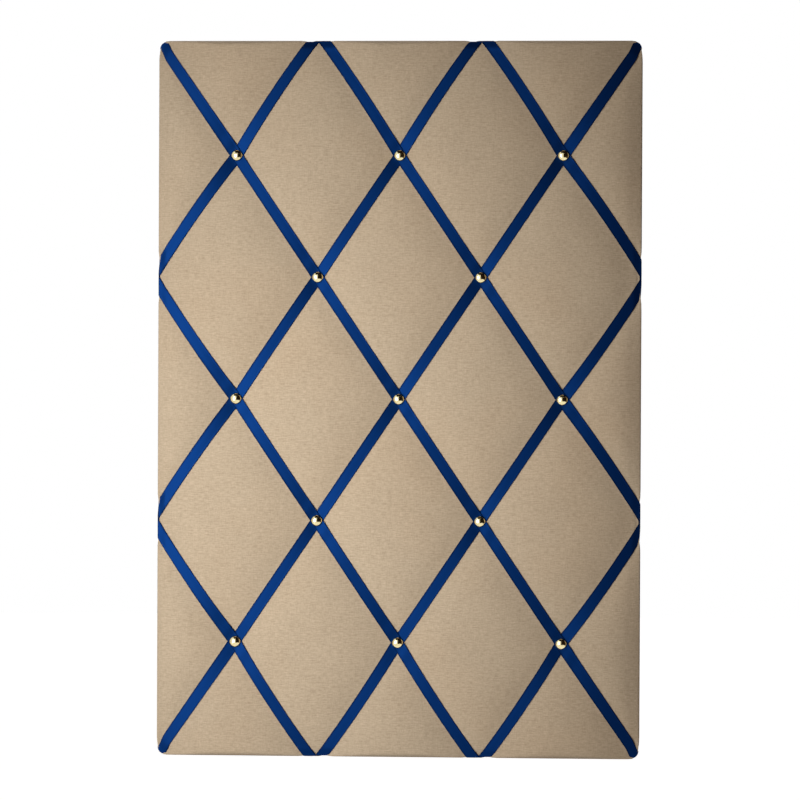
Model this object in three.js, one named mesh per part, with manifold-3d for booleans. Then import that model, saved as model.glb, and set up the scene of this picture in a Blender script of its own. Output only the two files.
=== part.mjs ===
// French memo board: a padded, cloth-covered panel crossed by satin ribbons, with a domed nail
// at each ribbon crossing and two ring hangers on the back. Millimetres.
// The board is modelled lying on its back, x to the right, y up the board and z out of its front,
// and the last lines stand it upright, facing -Y.
import * as THREE from 'three';
import { mergeVertices } from 'three/addons/utils/BufferGeometryUtils.js';
import Module from 'manifold-3d';

const wasm = await Module();
wasm.setup();

// Driving dimensions: the board
const BOARD_WIDTH = 405;
const BOARD_HEIGHT = 600;
const CLEARANCE = 0.3; // between layers that touch on the real board
const CORE_THICKNESS = 12;
const CORE_ARRIS = 1.5; // eased front edge of the core
const CORE_CORNER = 2.8; // corner radius of the core, seen from the front
const WADDING_SIDE = 1.5; // wadding squeezed round the side faces
const WADDING_TUFT = 1.5; // wadding squeezed under a nail
const COVER_THICKNESS = 0.6;
const COVER_TURN_IN = 26; // cloth folded on to the back
const CORNER_SPREAD = 0.5; // growth of the covered corners' radius per millimetre of inset
const BACK_EDGE_RADIUS = 2;
const CARD_THICKNESS = 1.6;
const CARD_MARGIN = 10; // cloth left showing round the backing card

// Driving dimensions: the padded front
const DIAMONDS = 3; // ribbon diamonds along each edge
const NAIL_STEP_X = 68.2; // across the board, from one nail to the next on a ribbon
const NAIL_STEP_Y = 101.8; // and up the board
const CROSSING_PAST_SIDE = 4.3; // ribbon pairs cross this far past the left and right edges
const CROSSING_PAST_TOP = 9.6; // and this far past the top and bottom edges
const RIBBON_WIDTH = 9.2;
const RIBBON_THICKNESS = 0.35;
const RIBBON_RISE = 3.6; // cover under a ribbon, halfway between two nails, above the tufts
const PILLOW_RISE = 6.2; // crown of a pillow above the ribbons beside it
const PILLOW_POWER = 2.7; // roundness of a pillow's section
const SIDE_PULL = 53; // width along each side over which the tight cloth flattens the padding
const SIDE_POWER = 2.3; // roundness of the padding there
const SIDE_OVERRUN = 0.5; // how far the flattening runs on past the side, as a share
const EDGE_ROLL = 8; // width of the rolled front edge
const EDGE_RESERVE = 1.5; // height of the edge's roll above the crowns
const SHOULDER_DROP = 2.35; // roll's lower end, below the core's front face
const EDGE_STOPS = [6, 2.5]; // ribbon stations before its bend over the edge, from the bend
const STATION_GAP = 2; // least distance from those to the stations on the front

// Driving dimensions: nails and staples
const STUD_DIAMETER = 9.5;
const STUD_HEIGHT = 3.1;
const STUD_WALL = 0.5;
const SHANK_DIAMETER = 1.5;
const SHANK_LENGTH = 14;
const SHANK_POINT = 2;
const TAIL_REACH = 38; // ribbon tail on the back, from the board's edge
const STAPLE_INSET = 32;
const STAPLE_WIDTH = 9;
const STAPLE_WIRE = 0.6;
const STAPLE_BITE = 5; // depth of the legs in the core

// Driving dimensions: ring hangers
const HANGER_SPREAD = 220; // between the two hangers
const HANGER_DROP = 95; // knuckle below the board's top edge
const WIRE_DIAMETER = 2.4;
const RING_WIDTH = 18; // between the wire's centres
const RING_DROP = 13; // from the bar to the lowest point of the bow
const STRAP_WIDTH = 11;
const STRAP_THICKNESS = 0.8;
const STRAP_SLIT = 0.3; // between the strap's two layers
const SCREW_DROP = 20; // from the knuckle to the screw
const SCREW_SHANK = 3.2;
const SCREW_HEAD = 6.4;
const SCREW_HEAD_HEIGHT = 2;
const SCREW_LENGTH = 14;
const SCREW_POINT = 3;

// Facets
const CORNER_SEGMENTS = 3; // round a corner of the board
const PILLOW_FACETS = 3; // across a pillow
const EDGE_STEPS = 4; // round the rolled edge
const STUD_SIDES = 12;
const STUD_STEPS = 4; // from the rim of a nail's head to its crown
const HOLE_SIDES = 5;
const KNUCKLE_SIDES = 12;
const WIRE_SIDES = 8;
const BOW_STEPS = 16; // along a ring's bow
const STRAP_END_STEPS = 5; // half of a strap's round end
const SCREW_SIDES = 10;
const SCREW_STEPS = 3; // from the rim of a screw's head to its crown
const CARD_PANELS = [3, 5]; // across and up the backing card
const BEND_PASSES = 6; // tries at where a ribbon leaves the pillows for the edge
const MERGE_DISTANCE = 1e-4;

// Layers from the back of the backing card, z = 0, to the nail heads
const CARD_FRONT = CARD_THICKNESS;
const STAPLE_BACK = CARD_FRONT + CLEARANCE;
const TAIL_BACK = STAPLE_BACK + STAPLE_WIRE + CLEARANCE;
const COVER_BACK = TAIL_BACK + RIBBON_THICKNESS + CLEARANCE;
const CORE_BACK = COVER_BACK + COVER_THICKNESS + CLEARANCE;
const CORE_FRONT = CORE_BACK + CORE_THICKNESS;
const TUFT_FLOOR = CORE_FRONT + CLEARANCE + WADDING_TUFT + CLEARANCE + COVER_THICKNESS;
const RIBBON_LAYER = RIBBON_THICKNESS + CLEARANCE;
const STUD_SEAT = TUFT_FLOOR + CLEARANCE + 2 * RIBBON_LAYER;
const SHOULDER = CORE_FRONT - SHOULDER_DROP;
const ROLL_TOP = TUFT_FLOOR + RIBBON_RISE + PILLOW_RISE + EDGE_RESERVE;
const SIDE_STACK = COVER_THICKNESS + WADDING_SIDE + 2 * CLEARANCE;
const CORNER_RADIUS = CORE_CORNER + SIDE_STACK;

// Ribbon lattice: u is whole on a falling ribbon, v on a rising one, and nails sit where both are.
// u + v counts steps across the board, u - v steps up it; outside the nails the steps are wider.
const INNER_STEPS = DIAMONDS - 1;
const RIBBON_SPACING = (2 * NAIL_STEP_X * NAIL_STEP_Y) / Math.hypot(NAIL_STEP_X, NAIL_STEP_Y);
const RIBBON_HALF = RIBBON_WIDTH / 2 / RIBBON_SPACING; // in lattice units

const clamp01 = (value) => Math.min(1, Math.max(0, value));
const clampTo = (limit, value) => Math.min(limit, Math.max(-limit, value));

class Scale {
  constructor(step, end) {
    this.step = step;
    this.outerStep = end - INNER_STEPS * step;
  }

  placeOf(steps) {
    const inner = clampTo(INNER_STEPS, steps);
    return this.step * inner + this.outerStep * (steps - inner);
  }

  stepsAt(place) {
    const inner = clampTo(INNER_STEPS * this.step, place);
    return inner / this.step + (place - inner) / this.outerStep;
  }
}

const scaleX = new Scale(NAIL_STEP_X, BOARD_WIDTH / 2 + CROSSING_PAST_SIDE);
const scaleY = new Scale(NAIL_STEP_Y, BOARD_HEIGHT / 2 + CROSSING_PAST_TOP);
const planOf = (u, v) => new THREE.Vector2(scaleX.placeOf(u + v), scaleY.placeOf(u - v));

function latticeOf(x, y) {
  const [across, up] = [scaleX.stepsAt(x), scaleY.stepsAt(y)];
  return [(across + up) / 2, (across - up) / 2];
}

function material(color, roughness, metalness = 0) {
  return new THREE.MeshStandardMaterial({ color, roughness, metalness });
}

const MATERIALS = {
  cloth: () => material(0xbeab93, 0.95),
  ribbon: () => material(0x0a2a63, 0.38),
  brass: () => material(0xc8b078, 0.18, 1),
  wadding: () => material(0xf1efe9, 1),
  board: () => material(0x8d7253, 0.9),
  card: () => material(0x2c2a28, 0.85),
  steel: () => material(0xb9bcc0, 0.3, 1),
};

// Solids

function toSolid(geometry) {
  const bare = new THREE.BufferGeometry();
  bare.setAttribute('position', geometry.getAttribute('position'));
  bare.setIndex(geometry.index);
  const merged = mergeVertices(bare, MERGE_DISTANCE);
  const corners = merged.index.array;
  const faces = [];
  for (let i = 0; i < corners.length; i += 3) {
    const [a, b, c] = [corners[i], corners[i + 1], corners[i + 2]];
    if (a !== b && b !== c && c !== a) faces.push(a, b, c);
  }
  const mesh = new wasm.Mesh({
    numProp: 3,
    vertProperties: merged.attributes.position.array,
    triVerts: new Uint32Array(faces),
  });
  return new wasm.Manifold(mesh);
}

function toGeometry(solid) {
  const { vertProperties, triVerts } = solid.getMesh();
  const geometry = new THREE.BufferGeometry();
  geometry.setAttribute('position', new THREE.BufferAttribute(vertProperties, 3));
  geometry.setIndex(new THREE.BufferAttribute(triVerts, 1));
  geometry.computeVertexNormals();
  return geometry;
}

function cut(solid, cutters) {
  return cutters.reduce((rest, cutter) => rest.subtract(cutter), solid);
}

// A grid of points, rows by columns, as the faces of one side; turned swaps the side that faces out
function gridFaces(rows, columns, at, turned) {
  const faces = [];
  for (let r = 0; r + 1 < rows; r += 1) {
    for (let c = 0; c + 1 < columns; c += 1) {
      const quad = [at(r, c), at(r, c + 1), at(r + 1, c + 1), at(r + 1, c)];
      if (turned) quad.reverse();
      faces.push(quad[0], quad[1], quad[2], quad[0], quad[2], quad[3]);
    }
  }
  return faces;
}

function indexedGeometry(points, faces) {
  const geometry = new THREE.BufferGeometry();
  geometry.setFromPoints(points);
  geometry.setIndex(faces);
  return geometry;
}

// Closed body through a stack of rings with equal counts of points, counter-clockwise from the front
function loft(rings) {
  const count = rings[0].length;
  const last = (rings.length - 1) * count;
  const at = (r, c) => r * count + (c % count);
  const faces = gridFaces(rings.length, count + 1, at, false);
  for (let i = 1; i + 1 < count; i += 1) {
    faces.push(0, i + 1, i);
    faces.push(last, last + i, last + i + 1);
  }
  return indexedGeometry(rings.flat(), faces);
}

// Closed strip through stations that each hold a lower and an upper row of points
function strip(stations) {
  const columns = stations[0].lower.length;
  const section = 2 * columns;
  const points = stations.flatMap(({ lower, upper }) => [...lower, ...[...upper].reverse()]);
  const at = (r, c) => r * section + (c % section);
  const faces = gridFaces(stations.length, section + 1, at, false);
  const end = (stations.length - 1) * section;
  for (let c = 0; c + 1 < columns; c += 1) {
    const cap = [c, c + 1, section - 2 - c, section - 1 - c];
    faces.push(cap[0], cap[2], cap[1], cap[0], cap[3], cap[2]);
    const [p, q, r, s] = cap.map((i) => end + i);
    faces.push(p, q, r, p, r, s);
  }
  return indexedGeometry(points, faces);
}

function prism(x, y, low, high, radius, sides) {
  const geometry = new THREE.CylinderGeometry(radius, radius, high - low, sides);
  geometry.rotateX(Math.PI / 2);
  geometry.translate(x, y, (low + high) / 2);
  return toSolid(geometry);
}

function block(width, height, low, high, x = 0, y = 0) {
  const geometry = new THREE.BoxGeometry(width, height, high - low);
  geometry.translate(x, y, (low + high) / 2);
  return toSolid(geometry);
}

// The padded form

// Share of a pillow's crown at a lattice coordinate: 0 on a ribbon, 1 halfway to the next
function swell(coordinate) {
  const fromRibbon = coordinate - Math.floor(coordinate);
  const across = clamp01((fromRibbon - RIBBON_HALF) / (1 - 2 * RIBBON_HALF));
  return 1 - Math.abs(2 * across - 1) ** PILLOW_POWER;
}

// Share of the padding's height that the cloth leaves near the sides
function looseness(x) {
  const pulled = Math.max(0, 1 - (BOARD_WIDTH / 2 - Math.abs(x)) / SIDE_PULL);
  return Math.max(-SIDE_OVERRUN, 1 - pulled ** SIDE_POWER);
}

function coverHeight(u, v) {
  const [p, q] = [swell(u), swell(v)];
  const padding = RIBBON_RISE * (p + q) + (PILLOW_RISE - RIBBON_RISE) * p * q;
  return TUFT_FLOOR + padding * looseness(planOf(u, v).x);
}

// Facet lines of the padded front: both edges of each ribbon, then even steps across the pillow
function facetLine(ribbon, step) {
  return ribbon + RIBBON_HALF + ((1 - 2 * RIBBON_HALF) * step) / PILLOW_FACETS;
}

function facetLines(low, high) {
  const lines = [];
  for (let ribbon = low; ribbon <= high; ribbon += 1) {
    lines.push(ribbon - RIBBON_HALF);
    const steps = ribbon < high ? PILLOW_FACETS : 0;
    for (let step = 0; step < steps; step += 1) {
      lines.push(facetLine(ribbon, step));
    }
  }
  lines.push(high + RIBBON_HALF);
  return lines;
}

// The two facet lines beside a lattice coordinate
function facetAround(coordinate) {
  const nearest = Math.round(coordinate);
  if (Math.abs(coordinate - nearest) <= RIBBON_HALF) return [nearest - RIBBON_HALF, nearest + RIBBON_HALF];
  const ribbon = Math.floor(coordinate);
  const share = (coordinate - ribbon - RIBBON_HALF) / (1 - 2 * RIBBON_HALF);
  const step = Math.min(PILLOW_FACETS - 1, Math.floor(share * PILLOW_FACETS));
  return [facetLine(ribbon, step), facetLine(ribbon, step + 1)];
}

// Height of the facetted front at a place on the board
function frontHeight(x, y) {
  const [u, v] = latticeOf(x, y);
  const [u0, u1] = facetAround(u);
  const [v0, v1] = facetAround(v);
  const s = (u - u0) / (u1 - u0);
  const t = (v - v0) / (v1 - v0);
  const low = coverHeight(u0, v0) * (1 - s) + coverHeight(u1, v0) * s;
  const high = coverHeight(u0, v1) * (1 - s) + coverHeight(u1, v1) * s;
  return low * (1 - t) + high * t;
}

// Section of the rolled edge, from the front down the side and round to the back
const edgeSection = [];
for (let step = EDGE_STEPS; step >= 0; step -= 1) {
  const angle = ((step / EDGE_STEPS) * Math.PI) / 2;
  edgeSection.push({
    inset: EDGE_ROLL * (1 - Math.cos(angle)),
    z: SHOULDER + (ROLL_TOP - SHOULDER) * Math.sin(angle),
  });
}
const rollSection = [...edgeSection];
for (const angle of [0, Math.PI / 4, Math.PI / 2]) {
  edgeSection.push({
    inset: BACK_EDGE_RADIUS * (1 - Math.cos(angle)),
    z: COVER_BACK + BACK_EDGE_RADIUS * (1 - Math.sin(angle)),
  });
}

// Inset at which the rolled edge has a given height
function rollInset(z) {
  const after = rollSection.findIndex((point) => point.z <= z);
  const [above, below] = [rollSection[after - 1], rollSection[after]];
  return below.inset + ((above.inset - below.inset) * (z - below.z)) / (above.z - below.z);
}

// Rounded rectangle round the board
function outline(halfWidth, halfHeight, radius, z) {
  const ring = [];
  const quarters = [[1, 1], [-1, 1], [-1, -1], [1, -1]];
  quarters.forEach(([sx, sy], quarter) => {
    for (let i = 0; i <= CORNER_SEGMENTS; i += 1) {
      const angle = ((quarter + i / CORNER_SEGMENTS) * Math.PI) / 2;
      const x = sx * (halfWidth - radius) + radius * Math.cos(angle);
      const y = sy * (halfHeight - radius) + radius * Math.sin(angle);
      ring.push(new THREE.Vector3(x, y, z));
    }
  });
  return ring;
}

// The covered board's outer form, drawn in by an offset on every side
function paddedBody(offset) {
  const rings = edgeSection.map(({ inset, z }) => {
    const level = z < SHOULDER ? z + offset : z - offset;
    const radius = CORNER_RADIUS + CORNER_SPREAD * inset - offset;
    return outline(BOARD_WIDTH / 2 - inset - offset, BOARD_HEIGHT / 2 - inset - offset, radius, level);
  });
  const envelope = toSolid(loft(rings.reverse()));
  const lines = facetLines(-DIAMONDS, DIAMONDS);
  const size = lines.length;
  const points = [];
  for (const top of [true, false]) {
    for (const u of lines) {
      for (const v of lines) {
        const { x, y } = planOf(u, v);
        points.push(new THREE.Vector3(x, y, top ? coverHeight(u, v) - offset : 0));
      }
    }
  }
  const at = (layer) => (r, c) => layer * size * size + r * size + c;
  const faces = [
    ...gridFaces(size, size, at(0), false),
    ...gridFaces(size, size, at(1), true),
  ];
  const last = size - 1;
  const side = [...Array(last).keys()];
  const rim = [
    ...side.map((i) => [0, i]),
    ...side.map((i) => [i, last]),
    ...side.map((i) => [last, last - i]),
    ...side.map((i) => [last - i, 0]),
  ];
  const wall = (layer, i) => at(layer)(...rim[i % rim.length]);
  faces.push(...gridFaces(2, rim.length + 1, wall, true));
  return toSolid(indexedGeometry(points, faces)).intersect(envelope);
}

// Nails

const studPlaces = [];
for (let v = -DIAMONDS; v <= DIAMONDS; v += 1) {
  for (let u = -DIAMONDS; u <= DIAMONDS; u += 1) {
    if (Math.abs(u + v) < DIAMONDS && Math.abs(u - v) < DIAMONDS) studPlaces.push(planOf(u, v));
  }
}
studPlaces.sort((a, b) => b.y - a.y || a.x - b.x);

const HOLE_FLOOR = STUD_SEAT - SHANK_LENGTH - CLEARANCE;
const HOLE_RADIUS = (SHANK_DIAMETER / 2 + CLEARANCE) / Math.cos(Math.PI / HOLE_SIDES);
const nailHoles = studPlaces.map(({ x, y }) => prism(x, y, HOLE_FLOOR, ROLL_TOP, HOLE_RADIUS, HOLE_SIDES));

// Quarter of an ellipse, from a dome's rim to its crown
function domeProfile(radius, height, steps) {
  const points = [];
  for (let step = 0; step < steps; step += 1) {
    const angle = ((step / steps) * Math.PI) / 2;
    points.push(new THREE.Vector2(radius * Math.cos(angle), height * Math.sin(angle)));
  }
  return [...points, new THREE.Vector2(0, height)];
}

// Hollow domed head on a pointed shank, its rim at z = 0
function studGeometry() {
  const rim = STUD_DIAMETER / 2;
  const shank = SHANK_DIAMETER / 2;
  const hollow = rim - STUD_WALL;
  const roof = (radius) => {
    const height = (STUD_HEIGHT - STUD_WALL) * Math.sqrt(1 - (radius / hollow) ** 2);
    return new THREE.Vector2(radius, height);
  };
  const profile = [
    new THREE.Vector2(0, -SHANK_LENGTH),
    new THREE.Vector2(shank, SHANK_POINT - SHANK_LENGTH),
    roof(shank),
    roof((hollow + shank) / 2),
    roof(hollow),
    ...domeProfile(rim, STUD_HEIGHT, STUD_STEPS),
  ];
  const geometry = new THREE.LatheGeometry(profile, STUD_SIDES);
  return geometry.rotateX(Math.PI / 2);
}

// Ribbons

// One ribbon's course: falling ribbons hold u, rising ribbons hold v, and both run along the other
class Course {
  constructor(falls, held) {
    this.falls = falls;
    this.held = held;
    this.reach = DIAMONDS - Math.abs(held);
  }

  plan(across, along) {
    const held = this.held + across;
    return this.falls ? planOf(held, along) : planOf(along, held);
  }

  height(across, along) {
    return coverHeight(this.held + across, along);
  }
}

// Where a ribbon goes over an edge of the board: out is measured past the edge, unrolled
class EdgeTurn {
  constructor(course, direction) {
    const end = course.plan(0, direction * course.reach);
    this.course = course;
    this.overSide = Math.abs(scaleX.stepsAt(end.x)) > Math.abs(scaleY.stepsAt(end.y));
    this.sign = Math.sign(this.overSide ? end.x : end.y);
    this.half = (this.overSide ? BOARD_WIDTH : BOARD_HEIGHT) / 2;
    this.crossed = true;
  }

  // Place along the edge of a line of the ribbon
  slide(across, out) {
    const line = 2 * (this.course.held + across);
    const reach = this.sign * (this.half + out);
    const way = this.course.falls ? 1 : -1;
    if (this.overSide) return scaleY.placeOf(way * (line - scaleX.stepsAt(reach)));
    return scaleX.placeOf(line - way * scaleY.stepsAt(reach));
  }

  place(across, out, past, z) {
    const along = this.slide(across, out);
    const away = this.sign * (this.half + past);
    return this.overSide ? new THREE.Vector3(away, along, z) : new THREE.Vector3(along, away, z);
  }

  tail(across, out, past, z) {
    return this.place(across, out, past, z);
  }

  staple(out) {
    const { x, y } = this.place(0, out, -STAPLE_INSET, 0);
    return { x, y, turn: this.overSide ? Math.PI / 2 : 0 };
  }
}

// Where a ribbon goes over a corner of the board and lies round it
class CornerTurn {
  constructor(course, direction) {
    this.course = course;
    this.direction = direction;
    const end = course.plan(0, direction * course.reach);
    this.sx = Math.sign(end.x);
    this.sy = Math.sign(end.y);
    this.crossed = false;
  }

  place(across, out, past, z) {
    const inset = Math.max(0, -past);
    const radius = CORNER_RADIUS + CORNER_SPREAD * inset;
    const swing = (across / RIBBON_HALF) * (RIBBON_WIDTH / 2 / radius);
    const angle = Math.PI / 4 - this.direction * swing;
    const reach = radius + Math.max(0, past);
    const x = BOARD_WIDTH / 2 - inset - radius + reach * Math.cos(angle);
    const y = BOARD_HEIGHT / 2 - inset - radius + reach * Math.sin(angle);
    return new THREE.Vector3(this.sx * x, this.sy * y, z);
  }

  // On the back the tail lies behind the ribbon's own front, its end clear of both edges
  backAlong(inset) {
    const clearOfSide = scaleX.stepsAt(BOARD_WIDTH / 2 - inset);
    const clearOfTop = scaleY.stepsAt(BOARD_HEIGHT / 2 - inset);
    return this.direction * Math.min(clearOfSide, clearOfTop);
  }

  tail(across, out, past, z) {
    const { x, y } = this.course.plan(across, this.backAlong(-past));
    return new THREE.Vector3(x, y, z);
  }

  staple() {
    const { x, y } = this.course.plan(0, this.backAlong(STAPLE_INSET));
    return { x, y, turn: 0 };
  }
}

// Section of one line of a ribbon over the edge: how far out it lies unrolled, and where it is
function turnSection(turn, across) {
  let bend = rollInset(TUFT_FLOOR);
  for (let pass = 0; pass < BEND_PASSES; pass += 1) {
    const { x, y } = turn.place(across, -bend, -bend, 0);
    bend = rollInset(frontHeight(x, y));
  }
  const section = [...EDGE_STOPS.map((stop) => stop + bend), bend].map((inset) => {
    const { x, y } = turn.place(across, -inset, -inset, 0);
    return { out: -inset, past: -inset, z: frontHeight(x, y) };
  });
  const over = edgeSection.filter(({ z }) => z < TUFT_FLOOR);
  for (const { inset, z } of over) {
    const before = section.at(-1);
    const out = before.out + Math.hypot(before.past + inset, before.z - z);
    section.push({ out, past: -inset, z });
  }
  const edge = section.at(-1);
  const out = edge.out + TAIL_REACH - BACK_EDGE_RADIUS;
  section.push({ out, past: -TAIL_REACH, z: COVER_BACK, tail: true });
  return section;
}

// Lifts a section off the cover by a distance square to it
function liftSection(section, lifts) {
  const normal = (from, to) => new THREE.Vector2(from.z - to.z, to.past - from.past).normalize();
  return section.map((point, i) => {
    const before = i > 0 ? normal(section[i - 1], point) : new THREE.Vector2(0, 1);
    const after = i + 1 < section.length ? normal(point, section[i + 1]) : before;
    const square = before.clone().add(after).normalize();
    const lift = lifts[i] / square.dot(before);
    return { ...point, past: point.past + lift * square.x, z: point.z + lift * square.y };
  });
}

function turnStations(turn, columns, raised) {
  const rows = columns.map((across) => {
    const section = turnSection(turn, across);
    const lifts = section.map((point, i) => {
      const crosses = turn.crossed && i > 0 && !point.tail;
      return CLEARANCE + (raised && crosses ? RIBBON_LAYER : 0);
    });
    const layer = (extra) => liftSection(section, lifts.map((lift) => lift + extra));
    const set = (points) => points.map(({ out, past, z, tail }) => {
      return tail ? turn.tail(across, out, past, z) : turn.place(across, out, past, z);
    });
    return { lower: set(layer(0)), upper: set(layer(RIBBON_THICKNESS)) };
  });
  return rows[0].lower.map((_, i) => ({
    lower: rows.map((row) => row.lower[i]),
    upper: rows.map((row) => row.upper[i]),
  }));
}

const STAPLE_LEG = (STAPLE_WIDTH - STAPLE_WIRE) / 2;
const staplePlaces = [];

function ribbonSolid(course, raised) {
  const toCorner = course.held === 0;
  const count = toCorner ? CORNER_SEGMENTS : 1;
  const sense = course.falls ? 1 : -1; // keeps the strip's faces turned out
  const columns = [];
  for (let i = 0; i <= count; i += 1) {
    columns.push(sense * RIBBON_HALF * ((2 * i) / count - 1));
  }
  const turns = [-1, 1].map((way) => (toCorner ? new CornerTurn(course, way) : new EdgeTurn(course, way)));
  const [start, finish] = turns.map((turn) => turnStations(turn, columns, raised));
  const clear = rollInset(TUFT_FLOOR) + EDGE_STOPS[0] + STATION_GAP;
  const isInside = ({ x, y }) => {
    return BOARD_WIDTH / 2 - Math.abs(x) > clear && BOARD_HEIGHT / 2 - Math.abs(y) > clear;
  };
  const front = [];
  for (const along of facetLines(-course.reach, course.reach)) {
    const places = columns.map((across) => course.plan(across, along));
    if (!places.every(isInside)) continue;
    const nearNail = Math.abs(along - Math.round(along)) < 2 * RIBBON_HALF;
    const lift = CLEARANCE + (raised && nearNail ? RIBBON_LAYER : 0);
    const row = (extra) => places.map(({ x, y }, i) => {
      return new THREE.Vector3(x, y, course.height(columns[i], along) + lift + extra);
    });
    front.push({ lower: row(0), upper: row(RIBBON_THICKNESS) });
  }
  const ends = turns.map((turn) => {
    const section = turnSection(turn, 0);
    return turn.staple(section.at(-1).out - TAIL_REACH + STAPLE_INSET);
  });
  staplePlaces.push(...ends);
  const body = toSolid(strip([...start.reverse(), ...front, ...finish]));
  return cut(body, [...nailHoles, ...ends.flatMap(legHoles)]);
}

// Staples

const LEG_TIP = CORE_BACK + STAPLE_BITE;

function legHoles({ x, y, turn }) {
  const size = STAPLE_WIRE + 2 * CLEARANCE;
  return [-STAPLE_LEG, STAPLE_LEG].map((offset) => {
    const [legX, legY] = [x + offset * Math.cos(turn), y + offset * Math.sin(turn)];
    return block(size, size, CARD_FRONT, LEG_TIP + CLEARANCE, legX, legY);
  });
}

function stapleGeometry() {
  const outer = STAPLE_WIDTH / 2;
  const inner = outer - STAPLE_WIRE;
  const height = LEG_TIP - STAPLE_BACK;
  const shape = new THREE.Shape();
  shape.moveTo(-outer, 0);
  shape.lineTo(outer, 0);
  shape.lineTo(outer, height);
  shape.lineTo(inner, height);
  shape.lineTo(inner, STAPLE_WIRE);
  shape.lineTo(-inner, STAPLE_WIRE);
  shape.lineTo(-inner, height);
  shape.lineTo(-outer, height);
  const geometry = new THREE.ExtrudeGeometry(shape, { depth: STAPLE_WIRE, bevelEnabled: false });
  geometry.translate(0, 0, -STAPLE_WIRE / 2);
  return geometry.rotateX(Math.PI / 2);
}

// Core, wadding, cover and backing card

// The core's outline grown all round, open-ended towards the back
function coreBody(grow, back) {
  const front = CORE_FRONT + grow;
  const section = [[0, back], [0, front - CORE_ARRIS], [CORE_ARRIS, front]];
  const rings = section.map(([inset, z]) => {
    const halfWidth = BOARD_WIDTH / 2 - SIDE_STACK + grow - inset;
    const halfHeight = BOARD_HEIGHT / 2 - SIDE_STACK + grow - inset;
    return outline(halfWidth, halfHeight, CORE_CORNER + grow - inset, z);
  });
  return toSolid(loft(rings));
}

const HANGER_X = HANGER_SPREAD / 2;
const HANGER_Y = BOARD_HEIGHT / 2 - HANGER_DROP;
const KNUCKLE_BORE = WIRE_DIAMETER / 2 + CLEARANCE;
const KNUCKLE_RADIUS = KNUCKLE_BORE + STRAP_THICKNESS;
const KNUCKLE_LIFT = CLEARANCE + KNUCKLE_RADIUS; // knuckle's axis off the backing card
const STRAP_TOP = CLEARANCE + 2 * STRAP_THICKNESS + STRAP_SLIT;
const SCREW_TIP = SCREW_LENGTH - STRAP_TOP - CLEARANCE; // depth of the point from the card's back
const SCREW_BORE = (SCREW_SHANK / 2 + CLEARANCE) / Math.cos(Math.PI / SCREW_SIDES);

const screwHoles = [-HANGER_X, HANGER_X].map((x) => {
  return prism(x, HANGER_Y - SCREW_DROP, -CARD_THICKNESS, SCREW_TIP + CLEARANCE, SCREW_BORE, SCREW_SIDES);
});

function coverSolid() {
  const width = BOARD_WIDTH - 2 * COVER_TURN_IN;
  const height = BOARD_HEIGHT - 2 * COVER_TURN_IN;
  const opening = block(width, height, CARD_FRONT, CORE_BACK);
  return cut(paddedBody(0), [paddedBody(COVER_THICKNESS), opening, ...nailHoles]);
}

function waddingSolid() {
  return cut(paddedBody(COVER_THICKNESS + CLEARANCE), [coreBody(CLEARANCE, 0), ...nailHoles]);
}

function cardSolid() {
  const width = BOARD_WIDTH - 2 * CARD_MARGIN;
  const height = BOARD_HEIGHT - 2 * CARD_MARGIN;
  const card = new THREE.BoxGeometry(width, height, CARD_THICKNESS, ...CARD_PANELS);
  card.translate(0, 0, CARD_THICKNESS / 2);
  return cut(toSolid(card), screwHoles);
}

// Ring hangers, with z out of the board's back and the knuckle's axis along x at y = 0

function rod(radius, length, sides) {
  return new THREE.CylinderGeometry(radius, radius, length, sides).rotateZ(Math.PI / 2);
}

// A strip folded round the ring's bar, its two layers pressed together below the knuckle
function strapSolid() {
  const half = STRAP_WIDTH / 2;
  const plate = new THREE.Shape();
  plate.moveTo(half, 0);
  plate.lineTo(-half, 0);
  plate.lineTo(-half, -SCREW_DROP);
  plate.absarc(0, -SCREW_DROP, half, Math.PI, 2 * Math.PI, false);
  const layers = new THREE.ExtrudeGeometry(plate, {
    depth: STRAP_TOP - CLEARANCE,
    bevelEnabled: false,
    curveSegments: STRAP_END_STEPS,
  });
  layers.translate(0, 0, CLEARANCE);
  const knuckle = rod(KNUCKLE_RADIUS, STRAP_WIDTH, KNUCKLE_SIDES).translate(0, 0, KNUCKLE_LIFT);
  const bore = rod(KNUCKLE_BORE, 2 * STRAP_WIDTH, KNUCKLE_SIDES).translate(0, 0, KNUCKLE_LIFT);
  const slitLow = CLEARANCE + STRAP_THICKNESS;
  const slitLength = SCREW_DROP + STRAP_WIDTH - KNUCKLE_RADIUS;
  const slitMiddle = -KNUCKLE_RADIUS - slitLength / 2;
  const slit = block(2 * STRAP_WIDTH, slitLength, slitLow, slitLow + STRAP_SLIT, 0, slitMiddle);
  const hole = prism(0, -SCREW_DROP, 0, STRAP_TOP + CLEARANCE, SCREW_BORE, SCREW_SIDES);
  return cut(toSolid(layers).add(toSolid(knuckle)), [toSolid(bore), slit, hole]);
}

// The ring's bow, half an ellipse below its bar
class Bow extends THREE.Curve {
  getPoint(t, target = new THREE.Vector3()) {
    const angle = Math.PI * (1 + t);
    return target.set((RING_WIDTH / 2) * Math.cos(angle), RING_DROP * Math.sin(angle), 0);
  }
}

function ringSolid() {
  const radius = WIRE_DIAMETER / 2;
  const section = new THREE.Shape().absarc(0, 0, radius, 0, 2 * Math.PI, false);
  const bow = new THREE.ExtrudeGeometry(section, {
    steps: BOW_STEPS,
    curveSegments: WIRE_SIDES / 2,
    extrudePath: new Bow(),
  });
  return toSolid(bow).add(toSolid(rod(radius, RING_WIDTH + WIRE_DIAMETER, WIRE_SIDES)));
}

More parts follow.
